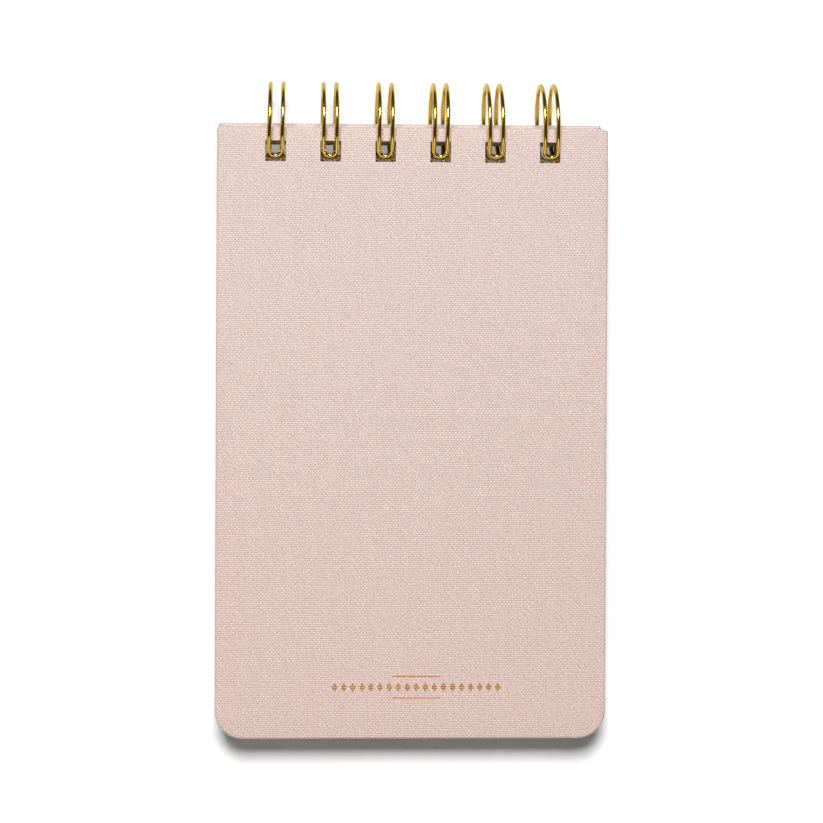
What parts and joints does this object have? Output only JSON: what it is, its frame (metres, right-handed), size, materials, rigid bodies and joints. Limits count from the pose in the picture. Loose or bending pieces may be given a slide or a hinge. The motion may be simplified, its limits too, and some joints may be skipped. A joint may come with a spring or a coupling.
{
  "type": "pocket notebook",
  "caption": "Top-bound pocket notebook: cloth-covered board covers and a block of ruled sheets that turn on a closed twin-loop wire.",
  "frame": {"origin": "under the middle of the notebook's outline seen from above the back cover, level with the lowest point of the wire loops", "axes": "+X across the back cover to the right, +Y along the covers towards the binding at the head, +Z out of the back cover, which is the stamped one. The loops' common axis, on which everything turns, runs along X through y = 66.9 mm, z = 9.25 mm"},
  "size_m": [0.0904, 0.1523, 0.0185],
  "materials": {
    "board": "grey bookbinding board, matte",
    "book_cloth": "pale pink linen-weave book cloth",
    "lining": "cream lining paper, matte",
    "foil": "hot-stamped copper-gold foil",
    "sheets": "uncoated writing paper, cream white",
    "wire": "bright gold-coated steel wire"
  },
  "bodies": {
    "book_block": {"page_block": "sheets", "wire_loop_1": "wire", "wire_loop_2": "wire", "wire_loop_3": "wire", "wire_loop_4": "wire", "wire_loop_5": "wire", "wire_loop_6": "wire", "wire_link_1": "wire", "wire_link_2": "wire", "wire_link_3": "wire", "wire_link_4": "wire", "wire_link_5": "wire", "wire_ends": "wire"},
    "front_cover": {"front_board": "board", "front_cloth": "book_cloth", "front_lining": "lining"},
    "back_cover": {"back_board": "board", "back_cloth": "book_cloth", "back_lining": "lining", "foil_stamp": "foil"},
    "first_sheets": {"first_sheets": "sheets"},
    "turning_sheet": {"turning_sheet": "sheets"}
  },
  "joints": [
    {"name": "front_cover_turn", "type": "hinge", "parent": "book_block", "child": "front_cover", "pos_m": [0, 0.0669, 0.00925], "axis": [1, 0, 0], "range_deg": [0, 190]},
    {"name": "back_cover_turn", "type": "hinge", "parent": "book_block", "child": "back_cover", "pos_m": [0, 0.0669, 0.00925], "axis": [-1, 0, 0], "range_deg": [0, 190]},
    {"name": "first_sheets_turn", "type": "hinge", "parent": "book_block", "child": "first_sheets", "pos_m": [0, 0.0669, 0.00925], "axis": [1, 0, 0], "range_deg": [0, 190]},
    {"name": "turning_sheet_turn", "type": "hinge", "parent": "book_block", "child": "turning_sheet", "pos_m": [0, 0.0669, 0.00925], "axis": [1, 0, 0], "range_deg": [0, 175]}
  ],
  "couplings": [
    {"joint": "first_sheets_turn", "follows": "front_cover_turn", "ratio": 0.97},
    {"joint": "turning_sheet_turn", "follows": "front_cover_turn", "ratio": 0.92}
  ]
}
